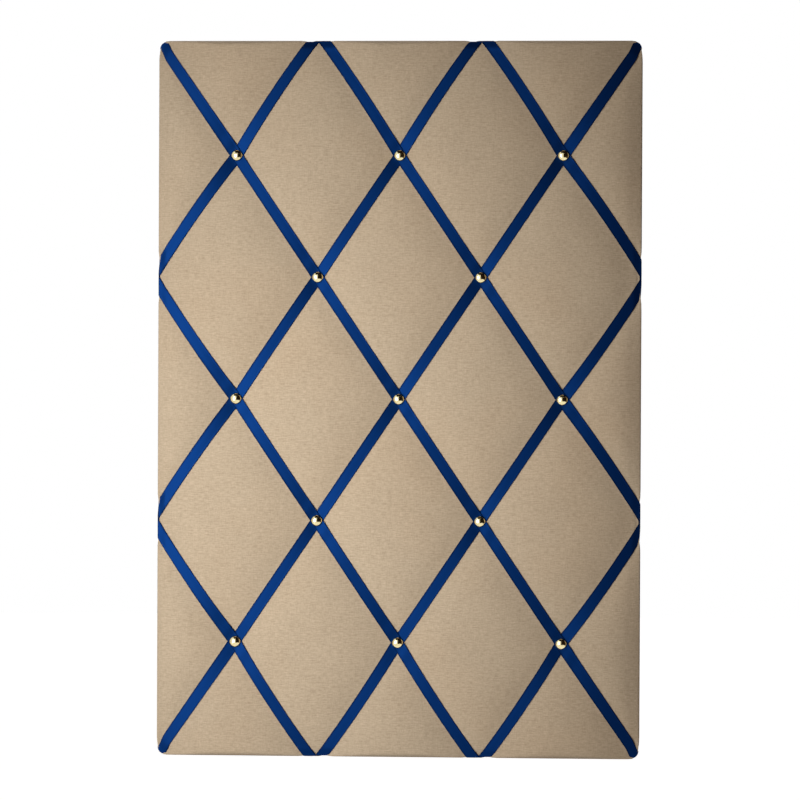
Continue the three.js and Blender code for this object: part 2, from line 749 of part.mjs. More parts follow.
// Round-headed wood screw, the underside of its head at z = 0
function screwGeometry() {
  const shank = SCREW_SHANK / 2;
  const profile = [
    new THREE.Vector2(0, -SCREW_LENGTH),
    new THREE.Vector2(shank, SCREW_POINT - SCREW_LENGTH),
    new THREE.Vector2(shank, 0),
    ...domeProfile(SCREW_HEAD / 2, SCREW_HEAD_HEIGHT, SCREW_STEPS),
  ];
  return new THREE.LatheGeometry(profile, SCREW_SIDES).rotateX(Math.PI / 2);
}

// At rest a ring hangs down and leans on its strap, where the bow passes the strap's edges
const STRAP_SHARE = STRAP_WIDTH / RING_WIDTH;
const LEAN_DROP = RING_DROP * Math.sqrt(1 - STRAP_SHARE ** 2);
const RING_LEAN = Math.asin((STRAP_TOP + CLEARANCE + WIRE_DIAMETER / 2 - KNUCKLE_LIFT) / LEAN_DROP);

// Assembly

const board = new THREE.Group();

function add(name, geometry, finish, parent = board) {
  const mesh = new THREE.Mesh(geometry, finish);
  mesh.name = name;
  parent.add(mesh);
  return mesh;
}

for (const falls of [false, true]) {
  for (let held = DIAMONDS - 1; held > -DIAMONDS; held -= 1) {
    const name = `${falls ? 'upper' : 'lower'}_ribbon_${DIAMONDS - held}`;
    add(name, toGeometry(ribbonSolid(new Course(falls, held), falls)), MATERIALS.ribbon());
  }
}

const coreHoles = [...nailHoles, ...staplePlaces.flatMap(legHoles), ...screwHoles];
add('core_board', toGeometry(cut(coreBody(0, CORE_BACK), coreHoles)), MATERIALS.board());
add('wadding', toGeometry(waddingSolid()), MATERIALS.wadding());
add('cover_cloth', toGeometry(coverSolid()), MATERIALS.cloth());
add('backing_card', toGeometry(cardSolid()), MATERIALS.card());

studPlaces.forEach(({ x, y }, i) => {
  add(`stud_${i + 1}`, studGeometry(), MATERIALS.brass()).position.set(x, y, STUD_SEAT);
});

staplePlaces.forEach(({ x, y, turn }, i) => {
  const staple = add(`ribbon_staple_${i + 1}`, stapleGeometry(), MATERIALS.steel());
  staple.position.set(x, y, STAPLE_BACK);
  staple.rotation.z = turn;
});

for (const side of ['left', 'right']) {
  const hanger = new THREE.Group();
  hanger.position.set(side === 'left' ? -HANGER_X : HANGER_X, HANGER_Y, 0);
  hanger.rotation.y = Math.PI;
  board.add(hanger);
  add(`${side}_hanger_strap`, toGeometry(strapSolid()), MATERIALS.steel(), hanger);
  const ring = add(`${side}_d_ring`, toGeometry(ringSolid()), MATERIALS.steel(), hanger);
  ring.position.z = KNUCKLE_LIFT;
  ring.rotation.x = -RING_LEAN;
  const screw = add(`${side}_hanger_screw`, screwGeometry(), MATERIALS.steel(), hanger);
  screw.position.set(0, -SCREW_DROP, STRAP_TOP + CLEARANCE);
}

board.rotation.x = Math.PI / 2;
const memoBoard = new THREE.Group();
memoBoard.add(board);

export default memoBoard;
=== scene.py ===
import math

import bpy
import numpy as np
from mathutils import Matrix, Vector


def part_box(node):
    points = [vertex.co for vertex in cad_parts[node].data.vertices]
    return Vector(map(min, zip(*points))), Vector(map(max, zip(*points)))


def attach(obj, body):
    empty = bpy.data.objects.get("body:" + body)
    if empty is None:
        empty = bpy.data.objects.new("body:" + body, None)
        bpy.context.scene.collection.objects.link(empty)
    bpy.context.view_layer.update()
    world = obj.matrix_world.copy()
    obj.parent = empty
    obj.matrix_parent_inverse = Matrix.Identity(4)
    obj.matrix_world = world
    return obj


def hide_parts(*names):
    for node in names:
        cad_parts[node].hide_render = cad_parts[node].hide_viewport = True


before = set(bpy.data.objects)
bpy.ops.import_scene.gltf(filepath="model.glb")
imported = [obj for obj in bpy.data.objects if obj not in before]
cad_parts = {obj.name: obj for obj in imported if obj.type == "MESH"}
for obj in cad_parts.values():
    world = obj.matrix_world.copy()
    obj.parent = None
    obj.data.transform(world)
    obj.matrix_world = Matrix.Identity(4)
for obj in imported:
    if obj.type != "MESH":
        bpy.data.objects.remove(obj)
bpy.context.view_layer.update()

# French memo board: x to the right, z up, the padded front faces -y.
# "out" is the distance in front of the backing card's back face, so y is -out.

# general helpers


def feed(tree, node, inputs):
    # a socket is linked, a plain value is set
    for key, value in inputs.items():
        if isinstance(value, bpy.types.NodeSocket):
            tree.links.new(value, node.inputs[key])
        else:
            node.inputs[key].default_value = value


def addNode(tree, kind, inputs=None, **settings):
    node = tree.nodes.new(kind)
    for key, value in settings.items():
        setattr(node, key, value)
    feed(tree, node, inputs or {})
    return node


def output(tree, kind, inputs=None, **settings):
    return addNode(tree, kind, inputs, **settings).outputs[0]


def calc(tree, operation, a, b=0.0, clamp=False):
    return output(tree, "ShaderNodeMath", {0: a, 1: b}, operation=operation, use_clamp=clamp)


def times(tree, a, b):
    return calc(tree, "MULTIPLY", a, b)


def vectorOf(tree, x=0.0, y=0.0, z=0.0):
    return output(tree, "ShaderNodeCombineXYZ", {0: x, 1: y, 2: z})


def partsOf(tree, vector):
    return addNode(tree, "ShaderNodeSeparateXYZ", {0: vector}).outputs


def meshPiece(name, points, faces, edges=()):
    mesh = bpy.data.meshes.new(name)
    mesh.from_pydata([tuple(p) for p in points], list(edges), [tuple(f) for f in faces])
    mesh.update()
    piece = bpy.data.objects.new(name, mesh)
    bpy.context.scene.collection.objects.link(piece)
    return piece


def smooth(piece):
    piece.data.shade_smooth()
    return piece


def setUv(piece, name, flat):
    layer = piece.data.uv_layers.new(name=name)
    corners = np.empty(len(piece.data.loops), dtype=np.int32)
    piece.data.loops.foreach_get("vertex_index", corners)
    layer.uv.foreach_set("vector", np.asarray(flat, dtype=np.float32)[corners].ravel())


def plainMesh(piece):
    graph = bpy.context.evaluated_depsgraph_get()
    mesh = bpy.data.meshes.new_from_object(piece.evaluated_get(graph))
    piece.modifiers.clear()
    piece.data = mesh
    return piece


def smoothStep(value):
    share = np.clip(value, 0, 1)
    return share * share * (3 - 2 * share)


def quads(rows, columns, index, flip=False):
    faces = []
    for r in range(rows - 1):
        for c in range(columns - 1):
            quad = (index(r, c), index(r, c + 1), index(r + 1, c + 1), index(r + 1, c))
            faces.append(quad[::-1] if flip else quad)
    return faces


# the padded form, worked out from the frame's nails and cover

nail = {
    "diameter": 0.0095,
    "height": 0.0031,
    "rim": 0.00035,
    "segments": 48,
    "rings": 26,
    "shank": 0.0015,
    "shankLength": 0.013,
    "shankSides": 12,
    "tip": 0.0001,  # radius of the shank's point
    "tilt": 4.0,  # degrees at most
    "seed": 7,
}
band = {
    "width": 0.0092,
    "thickness": 0.00035,
    "gap": 0.0003,
    "camber": 0.00012,
    "selvedge": 0.00008,  # height of the thicker edges
    "selvedgeStart": 0.9,  # across half a ribbon
}
form = {
    "ribbonRise": 0.0036,  # cloth under a ribbon, halfway between two nails
    "pillowRise": 0.0062,  # crown of a pillow above the ribbons beside it
    "pillowPower": 2.7,
    "sidePull": 0.053,  # width along each side over which the tight cloth flattens the padding
    "sidePower": 2.3,
    "pastSide": 0.0043,  # a pair of ribbons would cross this far past a long side
    "pastEnd": 0.0058,  # and this far past the top or bottom
    "bow": 0.09,  # by this share the last span of a ribbon curves towards its partner at the edge
    "edgeRoll": 0.008,  # width of the rolled front edge
    "edgeReserve": 0.0015,
    "shoulder": 0.014,
    "backRadius": 0.002,
    "cornerRadius": 0.0055,
    "cornerSpread": 0.5,
    "softening": 0.0008,  # blends the pillows into the rolled edge
    "turnIn": 0.026,
    "press": 0.0014,  # how far a tight ribbon sinks into the rolled edge
    "pressReach": 0.006,  # and how far beside the ribbon the cloth is drawn in
    "clothThickness": 0.0006,
    "halvings": 30,  # in the search for how far inside the outline a point lies
}

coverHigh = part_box("cover_cloth")[1]
halfWidth, halfHeight, coverBack = coverHigh[0], coverHigh[2], -coverHigh[1]
nailBoxes = [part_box(node) for node in sorted(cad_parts) if node.startswith("stud_")]
nailPlaces = sorted(((low + high) / 2 for low, high in nailBoxes), key=lambda p: (-round(p[2], 3), p[0]))
nailSeat = -nailBoxes[0][0][1] - nail["height"]
halfX = (nailPlaces[1][0] - nailPlaces[0][0]) / 2
halfZ = nailPlaces[0][2] - nailPlaces[3][2]
diamonds = 3
innerSteps = diamonds - 1  # lattice steps from the middle to the outermost nails
outerX = halfWidth + form["pastSide"] - innerSteps * halfX
outerZ = halfHeight + form["pastEnd"] - innerSteps * halfZ
ribbonLayer = band["thickness"] + band["gap"]
tuftFloor = nailSeat - 2 * ribbonLayer - band["gap"]
rollTop = tuftFloor + form["ribbonRise"] + form["pillowRise"] + form["edgeReserve"]
diagonal = math.hypot(halfX, halfZ)
ribbonHalf = band["width"] * diagonal / (4 * halfX * halfZ)  # half a ribbon in lattice units


def cornerRadiusAt(inset):
    return form["cornerRadius"] + form["cornerSpread"] * inset


def bowed(steps):
    part = np.clip(np.abs(steps), 0, 1)
    return steps + np.sign(steps) * form["bow"] * part * (1 - part)


def unbowed(share):
    size, bow = np.abs(share), form["bow"]
    part = (1 + bow - np.sqrt((1 + bow) ** 2 - 4 * bow * np.minimum(size, 1))) / (2 * bow)
    return np.sign(share) * np.where(size < 1, part, size)


def spread(steps, cell, outer):
    inner = np.clip(steps, -innerSteps, innerSteps)
    return cell * inner + outer * bowed(steps - inner)


def stepsAt(distance, cell, outer):
    inner = np.clip(distance, -innerSteps * cell, innerSteps * cell)
    return inner / cell + unbowed((distance - inner) / outer)


def swell(line):
    across = np.clip((line - np.floor(line) - ribbonHalf) / (1 - 2 * ribbonHalf), 0, 1)
    return 1 - np.abs(2 * across - 1) ** form["pillowPower"]


def latticeLines(x, z):
    # whole on a falling ribbon, and whole on a rising one
    stepsX, stepsZ = stepsAt(x, halfX, outerX), stepsAt(z, halfZ, outerZ)
    return (stepsX + stepsZ) / 2, (stepsX - stepsZ) / 2


def pillowOut(x, z, fullness=1.0):
    p, q = (swell(line) for line in latticeLines(x, z))
    crown = form["pillowRise"] * fullness - form["ribbonRise"]
    padding = form["ribbonRise"] * (p + q) + crown * p * q
    pulled = np.clip(1 - (halfWidth - np.abs(x)) / form["sidePull"], 0, 1)
    return tuftFloor + padding * (1 - pulled ** form["sidePower"])


def rollOut(inset):
    share = np.clip(1 - inset / form["edgeRoll"], 0, 1)
    return form["shoulder"] + (rollTop - form["shoulder"]) * np.sqrt(1 - share**2)


def pressShare(inset, out):
    # out is None on the rolled edge
    if out is None or out >= form["shoulder"]:
        return smoothStep(1 - inset / form["edgeRoll"])
    return smoothStep((out - coverBack) / form["backRadius"])


def besideRibbon(x, z):
    # 1 under a ribbon, fading beside it, at a place on the flat cloth
    share = np.zeros_like(x)
    for line in latticeLines(x, z):
        away = np.abs(line - np.round(line)) * band["width"] / 2 / ribbonHalf - band["width"] / 2
        share = np.maximum(share, smoothStep(1 - away / form["pressReach"]))
    return share


def insetOf(x, z):
    # how far inside the board's outline a point lies, round the corners too
    fromSide, fromEnd = halfWidth - np.abs(x), halfHeight - np.abs(z)
    low, high = np.zeros_like(fromSide), np.minimum(fromSide, fromEnd)
    for _ in range(form["halvings"]):
        middle = (low + high) / 2
        radius = cornerRadiusAt(middle)
        reach = middle + radius
        inside = np.hypot(np.maximum(0, reach - fromSide), np.maximum(0, reach - fromEnd)) <= radius
        low, high = np.where(inside, middle, low), np.where(inside, high, middle)
    return low


def frontOut(x, z, inset, fullness=1.0):
    k = form["softening"]
    return -k * np.logaddexp(-pillowOut(x, z, fullness) / k, -rollOut(inset) / k)


pillowSize = [round(2 * half, 4) for half in (halfX, halfZ)]
print("form: pillows", pillowSize, "m, nail seats at", round(nailSeat, 5))

# materials

linen = {
    "light": (0.600, 0.480, 0.350, 1),
    "dark": (0.375, 0.286, 0.196, 1),
    "warm": (1.0, 0.965, 0.935, 1),
    "thread": 0.00062,
    "weave": 0.13,  # share of the single threads in the tone
    "slubs": (  # uneven yarns: across, down, share
        (0.0045, 0.0008, 0.46),
        (0.0008, 0.0036, 0.26),
        (0.020, 0.0011, 0.18),
        (0.0011, 0.020, 0.10),
    ),
    "apart": 5.0,  # from one yarn's noise to the next
    "contrast": 3.0,
    "mottle": (30.0, 0.28),  # scale, strength
    "cloud": (9.0, 0.42, 2.5),  # scale, start, steepness
    "slubHeight": 1.5,
    "bump": (0.35, 0.0002),  # strength, distance
    "surface": {"Roughness": 0.95, "Specular IOR Level": 0.15, "Sheen Weight": 0.08, "Sheen Roughness": 0.6},
}
satin = {
    "color": (0.0018, 0.0225, 0.112, 1),
    "deep": (0.0005, 0.0067, 0.038, 1),
    "yarn": (0.00016, 0.03, 0.35),  # width, length, share of the deep colour
    "selvedge": (0.80, 6.0, 0.8),  # darker edges, partly the woven selvedge and partly painted shade: start and steepness across half a ribbon, share
    "bump": (0.12, 0.0001),
    "surface": {
        "Metallic": 0.7,
        "Roughness": 0.55,
        "Specular IOR Level": 0.1,
        "Specular Tint": (0.25, 0.5, 1.0, 1),
        "Anisotropic": 0.3,
    },
}
metals = {  # colour, stain, roughness from and to, scale of the grain
    "brass": ((0.83, 0.73, 0.43, 1), (0.58, 0.46, 0.21, 1), (0.07, 0.16), 900),
    "nickel": ((0.50, 0.49, 0.47, 1), (0.36, 0.35, 0.33, 1), (0.22, 0.38), 700),
    "zinc": ((0.60, 0.61, 0.63, 1), (0.45, 0.46, 0.48, 1), (0.30, 0.48), 1200),
}
patina = {"coarseness": 3, "stain": (0.45, 1.4), "bump": (0.04, 0.0001)}
boards = {  # light and dark colour, scale of the fibres, roughness
    "fibreboard": ((0.42, 0.29, 0.17, 1), (0.27, 0.18, 0.10, 1), 420, 0.9),
    "blackCard": ((0.034, 0.032, 0.031, 1), (0.014, 0.013, 0.013, 1), 260, 0.82),
    "fleece": ((0.92, 0.91, 0.88, 1), (0.78, 0.77, 0.74, 1), 900, 1.0),
}
fibre = {"flecks": (0.35, 2.6), "bump": (0.25, 0.0003), "specular": 0.3}


def newMaterial(name):
    material = bpy.data.materials.new(name)
    material.use_nodes = True
    tree = material.node_tree
    shader = tree.nodes["Principled BSDF"]
    return material, tree, shader


def noise(tree, vector, scale=1.0, detail=2.0, roughness=0.5):
    inputs = {"Vector": vector, "Scale": scale, "Detail": detail, "Roughness": roughness}
    return output(tree, "ShaderNodeTexNoise", inputs)


def rising(tree, value, start, steepness):
    return calc(tree, "MULTIPLY", calc(tree, "SUBTRACT", value, start), steepness, clamp=True)


def blendColor(tree, share, first, second, how="MIX"):
    inputs = {0: share, 6: first, 7: second}
    return addNode(tree, "ShaderNodeMix", inputs, data_type="RGBA", blend_type=how).outputs[2]


def bumpFrom(tree, height, strength, distance):
    inputs = {"Height": height, "Strength": strength, "Distance": distance}
    return output(tree, "ShaderNodeBump", inputs)


def linenMaterial():
    material, tree, shader = newMaterial("beigeLinen")
    flat = output(tree, "ShaderNodeUVMap", uv_map="flatCloth")
    u, v, _ = partsOf(tree, flat)
    # plain weave: each thread goes over one and under the next
    warp, weft = (calc(tree, "SINE", times(tree, way, math.pi / linen["thread"])) for way in (u, v))
    weave = times(tree, warp, weft)
    # uneven yarns, long one way and thin the other, more of them across than down
    yarn = 0.0
    for i, (wide, high, part) in enumerate(linen["slubs"]):
        across, down = calc(tree, "DIVIDE", u, wide), calc(tree, "DIVIDE", v, high)
        slub = noise(tree, vectorOf(tree, across, down, linen["apart"] * i), roughness=0.6)
        yarn = calc(tree, "ADD", yarn, times(tree, slub, part))
    scale, strength = linen["mottle"]
    mottle = calc(tree, "SUBTRACT", noise(tree, flat, scale, detail=4.0, roughness=0.6), 0.5)
    tone = times(tree, calc(tree, "SUBTRACT", yarn, 0.5), linen["contrast"])
    for part in (times(tree, mottle, strength), times(tree, weave, linen["weave"])):
        tone = calc(tree, "ADD", tone, part)
    share = calc(tree, "ADD", tone, 0.5, clamp=True)
    beige = blendColor(tree, share, linen["dark"], linen["light"])
    # faint warm clouds in the dye
    scale, start, steepness = linen["cloud"]
    cloud = rising(tree, noise(tree, flat, scale, detail=3.0), start, steepness)
    tint = blendColor(tree, cloud, (1, 1, 1, 1), linen["warm"])
    height = calc(tree, "ADD", weave, times(tree, yarn, linen["slubHeight"]))
    feed(tree, shader, {
        "Base Color": blendColor(tree, 1.0, beige, tint, "MULTIPLY"),
        "Normal": bumpFrom(tree, height, *linen["bump"]),
        **linen["surface"],
    })
    return material


def satinMaterial():
    material, tree, shader = newMaterial("navySatin")
    u, v, _ = partsOf(tree, output(tree, "ShaderNodeUVMap", uv_map="ribbonRun"))
    # long floats of fine yarn along the ribbon
    wide, long, yarnShare = satin["yarn"]
    yarn = noise(tree, vectorOf(tree, calc(tree, "DIVIDE", u, wide), calc(tree, "DIVIDE", v, long)))
    # the ribbon's edges turn to the deep colour: partly its woven selvedge, partly painted shade along its
    # edges
    start, steepness, selvedgeShadeShare = satin["selvedge"]
    edge = calc(tree, "DIVIDE", calc(tree, "ABSOLUTE", u), band["width"] / 2)
    selvedge = times(tree, rising(tree, edge, start, steepness), selvedgeShadeShare)
    share = calc(tree, "ADD", times(tree, yarn, yarnShare), selvedge, clamp=True)
    feed(tree, shader, {
        "Base Color": blendColor(tree, share, satin["color"], satin["deep"]),
        "Normal": bumpFrom(tree, yarn, *satin["bump"]),
        "Tangent": output(tree, "ShaderNodeTangent", direction_type="UV_MAP", uv_map="ribbonRun"),
        **satin["surface"],
    })
    return material


def metalMaterial(name):
    color, stained, (low, high), grain = metals[name]
    material, tree, shader = newMaterial(name)
    spot = addNode(tree, "ShaderNodeTexCoord").outputs["Object"]
    broad = noise(tree, spot, grain / patina["coarseness"], detail=3.0)
    fine = noise(tree, spot, grain)
    feed(tree, shader, {
        "Base Color": blendColor(tree, rising(tree, broad, *patina["stain"]), color, stained),
        "Roughness": calc(tree, "ADD", times(tree, fine, high - low), low),
        "Normal": bumpFrom(tree, fine, *patina["bump"]),
        "Metallic": 1.0,
    })
    return material


def fibreMaterial(name):
    light, dark, scale, roughness = boards[name]
    material, tree, shader = newMaterial(name)
    spot = addNode(tree, "ShaderNodeTexCoord").outputs["Object"]
    fibres = noise(tree, spot, scale, detail=6.0, roughness=0.7)
    feed(tree, shader, {
        "Base Color": blendColor(tree, rising(tree, fibres, *fibre["flecks"]), dark, light),
        "Normal": bumpFrom(tree, fibres, *fibre["bump"]),
        "Roughness": roughness,
        "Specular IOR Level": fibre["specular"],
    })
    return material


finishes = {"linen": linenMaterial(), "satin": satinMaterial()}
finishes.update({name: metalMaterial(name) for name in metals})
finishes.update({name: fibreMaterial(name) for name in boards})
print("materials:", ", ".join(finishes))

# cover cloth and wadding: a grid over the front, then rings over the rolled edge, the sides and the back

cloth = {"cell": 0.003, "cornerCells": 8, "rollSteps": 10, "sideSteps": 3, "backSteps": 4, "turnInSteps": 4}
pad = {
    "cell": 0.008,
    "cornerCells": 4,
    "rollSteps": 8,
    "sideSteps": 3,
    "backSteps": 0,
    "turnInSteps": 0,
    "gap": 0.0009,  # from the cloth's outside to the wadding's outside
    "side": 0.0024,  # and to its inside, round the edge
    "coreFront": 0.01635,
    "slack": 0.0003,
}
puff = {
    "fullness": 0.7,  # of the pillows before the cloth swells
    "border": 0.03,  # along the edge they start full
    "cell": 0.005,
    "held": 0.3,  # cloth is held where the ribbons press at least this much
    "pressure": 44.0,
    "stiffness": 2.0,
    "shearEase": 3,  # times less stiff in shear
    "frames": 20,
    "most": 0.0022,
}


def fullnessAt(x, z):
    fromEdge = (insetOf(x, z) - form["edgeRoll"]) / puff["border"]
    return 1 - (1 - puff["fullness"]) * smoothStep(fromEdge)


def gridLines(half, cut):
    radius = cornerRadiusAt(form["edgeRoll"])
    inner = half - form["edgeRoll"] - radius
    middle = np.linspace(-inner, inner, 2 * math.ceil(inner / cut["cell"]) + 1)
    corner = inner + radius * np.linspace(0, 1, cut["cornerCells"] + 1)[1:]
    return np.concatenate([-corner[::-1], middle, corner]), inner


def roundCorner(x, z, innerX, innerZ):
    # squares the circle: the grid's corner cells fill a quarter disc
    radius = cornerRadiusAt(form["edgeRoll"])
    overX = np.clip((np.abs(x) - innerX) / radius, 0, 1)
    overZ = np.clip((np.abs(z) - innerZ) / radius, 0, 1)
    newX = np.minimum(np.abs(x), innerX) + radius * overX * np.sqrt(1 - overZ**2 / 2)
    newZ = np.minimum(np.abs(z), innerZ) + radius * overZ * np.sqrt(1 - overX**2 / 2)
    return np.sign(x) * newX, np.sign(z) * newZ


def aroundBack(cut, reach):
    # (inset, out) from the end of the roll down the side, round the back edge and in over the back
    radius = form["backRadius"]
    sideEnd = coverBack + radius
    path = [(0.0, out) for out in np.linspace(form["shoulder"], sideEnd, cut["sideSteps"] + 1)[1:]]
    for turn in np.linspace(0, math.pi / 2, cut["backSteps"] + 1)[1:]:
        path.append((radius * (1 - math.cos(turn)), sideEnd - radius * math.sin(turn)))
    return path + [(inset, coverBack) for inset in np.linspace(radius, reach, cut["turnInSteps"] + 1)[1:]]


def edgeProfile(cut):
    # (inset, out) from the start of the roll to the back; out is None on the roll
    angles = np.linspace(math.pi / 2, 0, cut["rollSteps"] + 1)[1:]
    roll = [(form["edgeRoll"] * (1 - math.cos(angle)), None) for angle in angles]
    return roll + aroundBack(cut, form["turnIn"])


class PaddedGrid:
    def __init__(self, cut):
        self.cut = cut
        self.linesX, innerX = gridLines(halfWidth, cut)
        self.linesZ, innerZ = gridLines(halfHeight, cut)
        self.columns, self.rows = len(self.linesX), len(self.linesZ)
        x, z = np.meshgrid(self.linesX, self.linesZ)
        self.x, self.z = (part.ravel() for part in roundCorner(x, z, innerX, innerZ))
        index = np.arange(x.size).reshape(x.shape)
        self.loop = np.concatenate([index[0, :-1], index[:-1, -1], index[-1, :0:-1], index[:0:-1, 0]])
        radius = cornerRadiusAt(form["edgeRoll"])
        rimX, rimZ = self.x[self.loop], self.z[self.loop]
        self.shareX = np.clip(rimX / innerX, -1, 1)
        self.shareZ = np.clip(rimZ / innerZ, -1, 1)
        self.awayX = (rimX - self.shareX * innerX) / radius
        self.awayZ = (rimZ - self.shareZ * innerZ) / radius

    def at(self, row, column):
        return row * self.columns + column

    def ring(self, inset, offset=0.0):
        radius = cornerRadiusAt(inset)
        x = self.shareX * (halfWidth - inset - radius) + (radius - offset) * self.awayX
        z = self.shareZ * (halfHeight - inset - radius) + (radius - offset) * self.awayZ
        return x, z

    def front(self):
        return frontOut(self.x, self.z, form["edgeRoll"], fullnessAt(self.x, self.z))

    def layer(self, offset, swelling=0.0):
        # the form drawn in by an offset, and where each point lies on the flat cloth
        points = [np.stack([self.x, offset - self.front() - swelling, self.z], 1)]
        flat = [np.stack([self.x, self.z], 1)]
        arc, before = 0.0, (form["edgeRoll"], rollTop)
        for inset, level in edgeProfile(self.cut):
            planX, planZ = self.ring(inset)
            x, z = self.ring(inset, offset)
            if level is None:
                out = frontOut(planX, planZ, inset) - offset
            else:
                out = np.full_like(x, level + offset)
            here = (inset, float(rollOut(inset)) if level is None else level)
            arc += math.hypot(here[0] - before[0], here[1] - before[1])
            before = here
            extra = arc - (form["edgeRoll"] - inset)
            flat.append(np.stack([planX + extra * self.awayX, planZ + extra * self.awayZ], 1))
            press = form["press"] * pressShare(inset, level) * besideRibbon(flat[-1][:, 0], flat[-1][:, 1])
            slope = math.sqrt(max(0.0, 1 - (1 - inset / form["edgeRoll"]) ** 2)) if level is None else 0.0
            inward = press * math.sqrt(1 - slope**2)
            x, z = x - inward * self.awayX, z - inward * self.awayZ
            points.append(np.stack([x, press * slope - out, z], 1))
        return np.concatenate(points), np.concatenate(flat)

    def faces(self, flip=False, start=0):
        found = quads(self.rows, self.columns, lambda r, c: start + self.at(r, c), flip)
        count, size = len(self.loop), self.rows * self.columns

        def at(r, c):
            return start + (self.loop[c % count] if r == 0 else size + (r - 1) * count + c % count)

        found += quads(len(edgeProfile(self.cut)) + 1, count + 1, at, not flip)
        return found

    def rim(self, total):
        # joins the two layers round their open edge
        count = len(self.loop)
        outer, inner = total - count, 2 * total - count
        pairs = [(c, (c + 1) % count) for c in range(count)]
        return [(outer + c, inner + c, inner + d, outer + d) for c, d in pairs]

    def shell(self, name, outer, inner):
        total = len(outer)
        faces = self.faces() + self.faces(True, total) + self.rim(total)
        return smooth(meshPiece(name, np.concatenate([outer, inner]), faces))


def swelledGrid(grid):
    # a cloth sheet, held under the ribbons and round the edge, that the wadding pushes out
    start = np.stack([grid.x, -grid.front(), grid.z], 1)
    sheet = meshPiece("clothForm", start, quads(grid.rows, grid.columns, grid.at))
    held = besideRibbon(grid.x, grid.z) > puff["held"]
    held[grid.loop] = True
    group = sheet.vertex_groups.new(name="held")
    group.add([int(i) for i in np.nonzero(held)[0]], 1.0, "REPLACE")
    modifier = sheet.modifiers.new("cloth", "CLOTH")
    settings = modifier.settings
    settings.vertex_group_mass = "held"
    settings.tension_stiffness = settings.compression_stiffness = puff["stiffness"]
    settings.shear_stiffness = puff["stiffness"] / puff["shearEase"]
    settings.use_pressure = True
    settings.uniform_pressure_force = puff["pressure"]
    settings.effector_weights.gravity = 0.0
    modifier.collision_settings.use_collision = False
    modifier.point_cache.frame_end = puff["frames"]
    for step in range(1, puff["frames"] + 1):
        bpy.context.scene.frame_set(step)
    swelled = plainMesh(sheet).data
    moved = np.empty(3 * len(swelled.vertices))
    swelled.vertices.foreach_get("co", moved)
    bpy.data.objects.remove(sheet)
    bpy.context.scene.frame_set(1)
    outward = np.clip(start[:, 1] - moved[1::3], 0, None)
    return puff["most"] * np.tanh(outward / puff["most"])


def finer(swelling, coarse, fine):
    rows = swelling.reshape(coarse.rows, coarse.columns)
    wide = np.array([np.interp(fine.linesX, coarse.linesX, row) for row in rows])
    return np.array([np.interp(fine.linesZ, coarse.linesZ, column) for column in wide.T]).T.ravel()


coverGrid = PaddedGrid(cloth)
swelling = 0.0
puffGrid = PaddedGrid({**cloth, "cell": puff["cell"]})
swelling = finer(swelledGrid(puffGrid), puffGrid, coverGrid)
print("cloth swelled by", round(float(swelling.max()), 5), "m at most")
coverOuter, flatCloth = coverGrid.layer(0.0, swelling)
coverInner, _ = coverGrid.layer(form["clothThickness"], swelling)
cover = coverGrid.shell("linen_cover", coverOuter, coverInner)
setUv(cover, "flatCloth", np.concatenate([flatCloth, flatCloth]))
cover.data.materials.append(finishes["linen"])
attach(cover, "board")
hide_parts("cover_cloth")

padGrid = PaddedGrid(pad)
padOuter, _ = padGrid.layer(pad["gap"])
padInner, _ = padGrid.layer(pad["side"])
padInner[:, 1] = np.maximum(padOuter[:, 1], -pad["coreFront"] - pad["slack"])
wadding = padGrid.shell("wadding_pad", padOuter, padInner)
wadding.data.materials.append(finishes["fleece"])
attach(wadding, "board")
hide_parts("wadding")

# ribbons: strips of lines that run straight on the unrolled cloth, over the edge and on to the back

strip = {
    "lines": (-1, -0.95, -0.89, -0.5, 0, 0.5, 0.89, 0.95, 1),  # across half a ribbon
    "step": 0.0025,  # between stations on the front
    "edgeStart": 0.010,  # inset at which a ribbon starts to follow the rolled edge
    "cornerStart": 0.009,  # inset at which a corner ribbon starts to swing to the corner
    "edgeSteps": 16,
    "sideSteps": 5,
    "backSteps": 5,
    "turnInSteps": 8,
    "tailReach": 0.038,
    "passes": 3,  # at where a station lies, since its place and its height depend on each other
    "crossing": 0.008,  # along a ribbon that lies over another one
    "ramp": 0.012,
}


class RibbonRun:
    def __init__(self, falls, held):
        self.falls, self.held = falls, held
        self.reach = diamonds - abs(held)
        self.crossings = self.reach if held else self.reach - 1
        self.lines = np.array(strip["lines"]) * ribbonHalf

    def plan(self, along):
        held = self.held + self.lines
        u, v = (held, along) if self.falls else (along, held)
        return spread(u + v, halfX, outerX), spread(u - v, halfZ, outerZ)

    def middleAt(self, along):
        return [places[len(places) // 2] for places in self.plan(along)]

    def lift(self, distance):
        # the falling ribbons lie over the rising ones
        if not self.falls:
            return np.full_like(distance, band["gap"])
        return band["gap"] + ribbonLayer * smoothStep(1 - (distance - strip["crossing"]) / strip["ramp"])

    def liftAt(self, along):
        nearest = np.clip(np.round(along), -self.crossings, self.crossings)
        return self.lift(np.abs(along - nearest) * diagonal)


